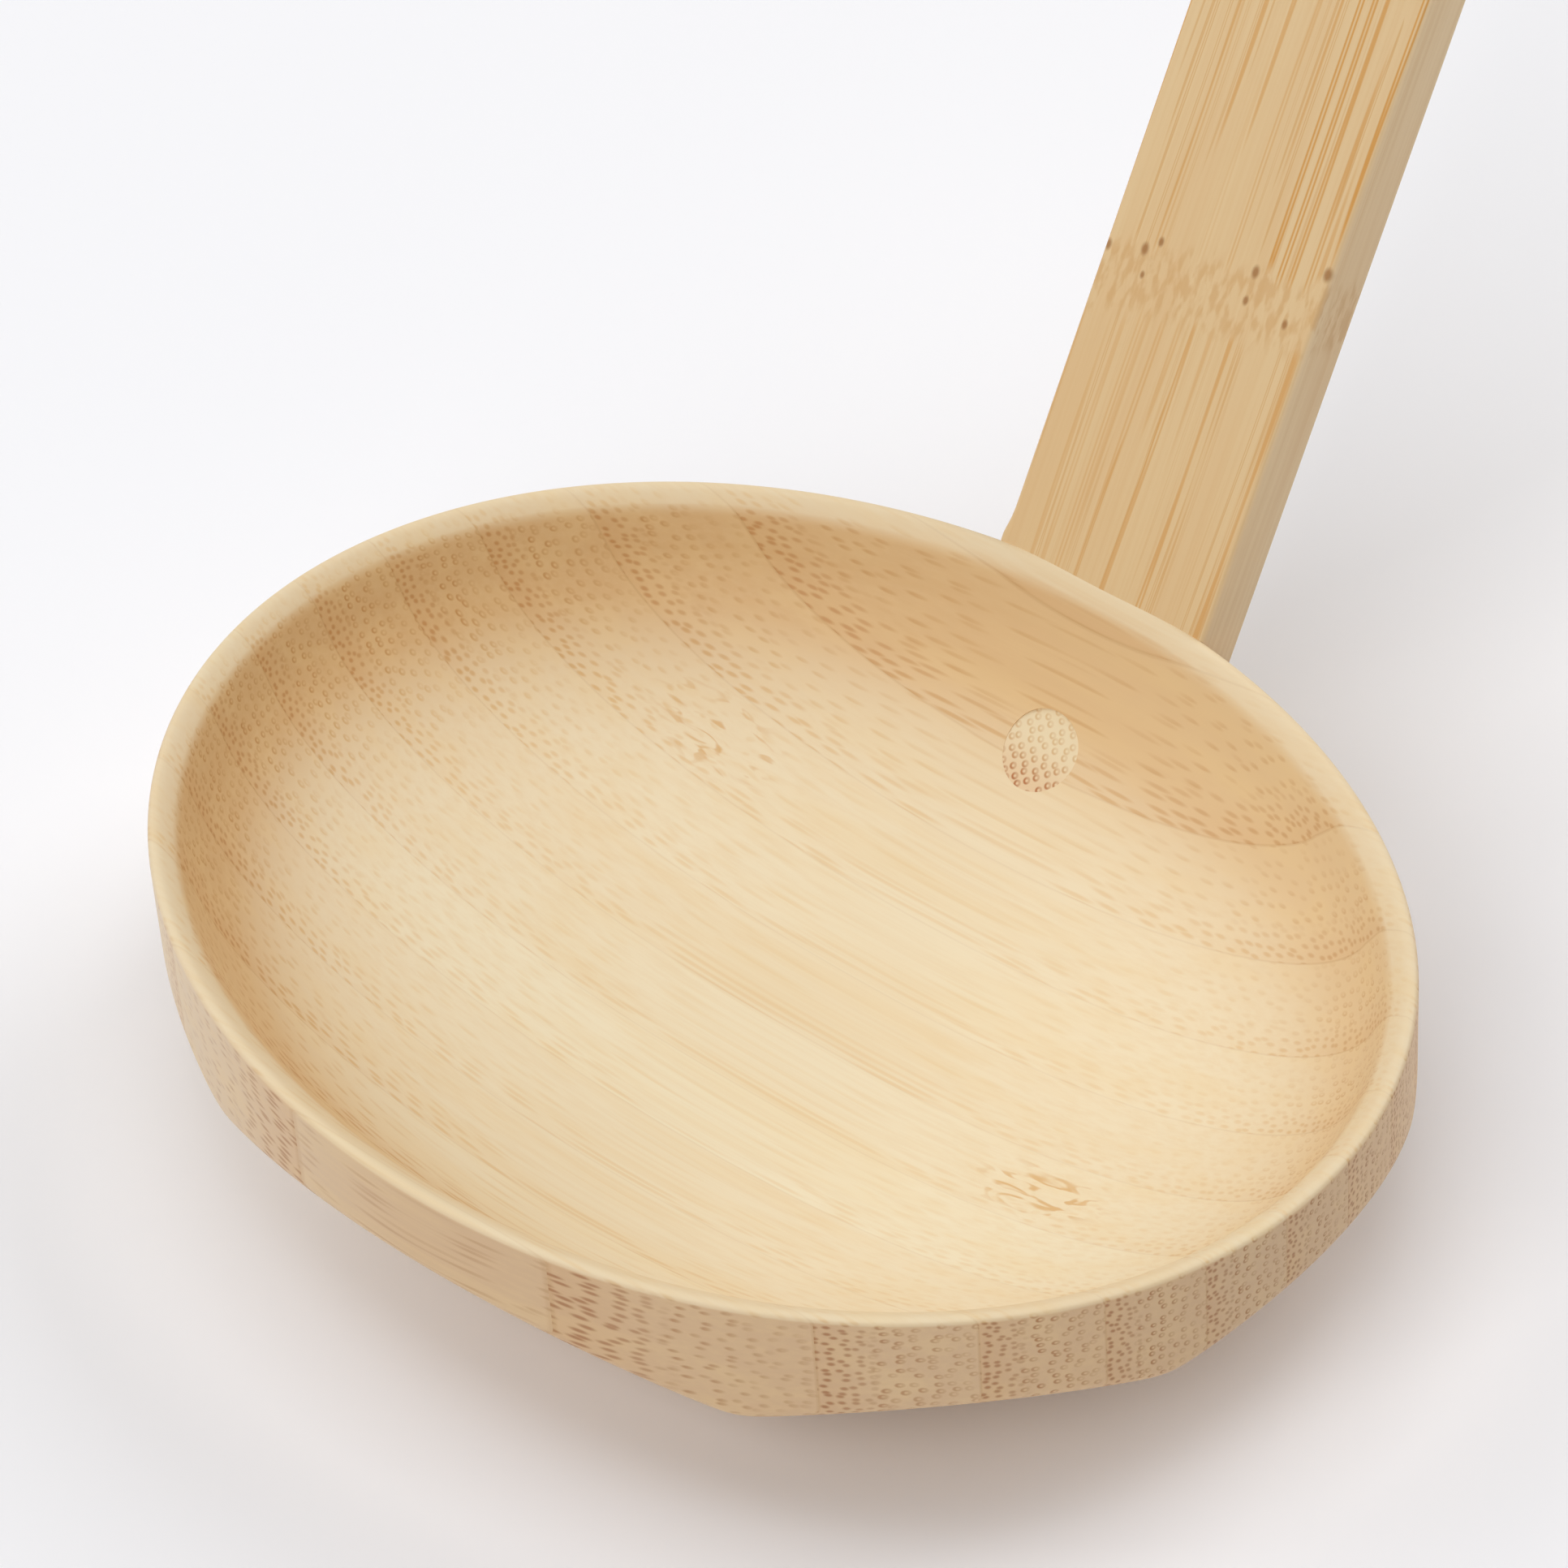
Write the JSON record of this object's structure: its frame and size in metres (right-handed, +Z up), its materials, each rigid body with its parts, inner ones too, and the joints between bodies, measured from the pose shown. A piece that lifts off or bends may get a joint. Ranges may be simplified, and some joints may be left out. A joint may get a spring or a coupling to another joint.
{
  "type": "bamboo ladle",
  "caption": "Oval ladle of laminated bamboo: a bowl milled from edge-glued strips, faceted below, with a leaning slat handle let into its back and pinned by a dowel.",
  "frame": {"origin": "middle of the bowl's flat base, on the surface that it stands on", "axes": "X along the grain, the long way of the oval; Y from the front of the bowl towards the handle; Z up"},
  "size_m": [0.08, 0.1134, 0.0899],
  "materials": {
    "bowl": "natural laminated bamboo, sanded smooth, matt",
    "handle": "natural bamboo slat, sanded smooth, matt",
    "dowel": "natural bamboo, end grain sanded flush"
  },
  "bodies": {
    "root": {"bowl_strip_01": "bowl", "bowl_strip_02": "bowl", "bowl_strip_03": "bowl", "bowl_strip_04": "bowl", "bowl_strip_05": "bowl", "bowl_strip_06": "bowl", "bowl_strip_07": "bowl", "bowl_strip_08": "bowl", "bowl_strip_09": "bowl", "bowl_strip_10": "bowl", "bowl_strip_11": "bowl", "bowl_strip_12": "bowl", "bowl_strip_13": "bowl", "handle": "handle", "dowel": "dowel"}
  },
  "joints": []
}
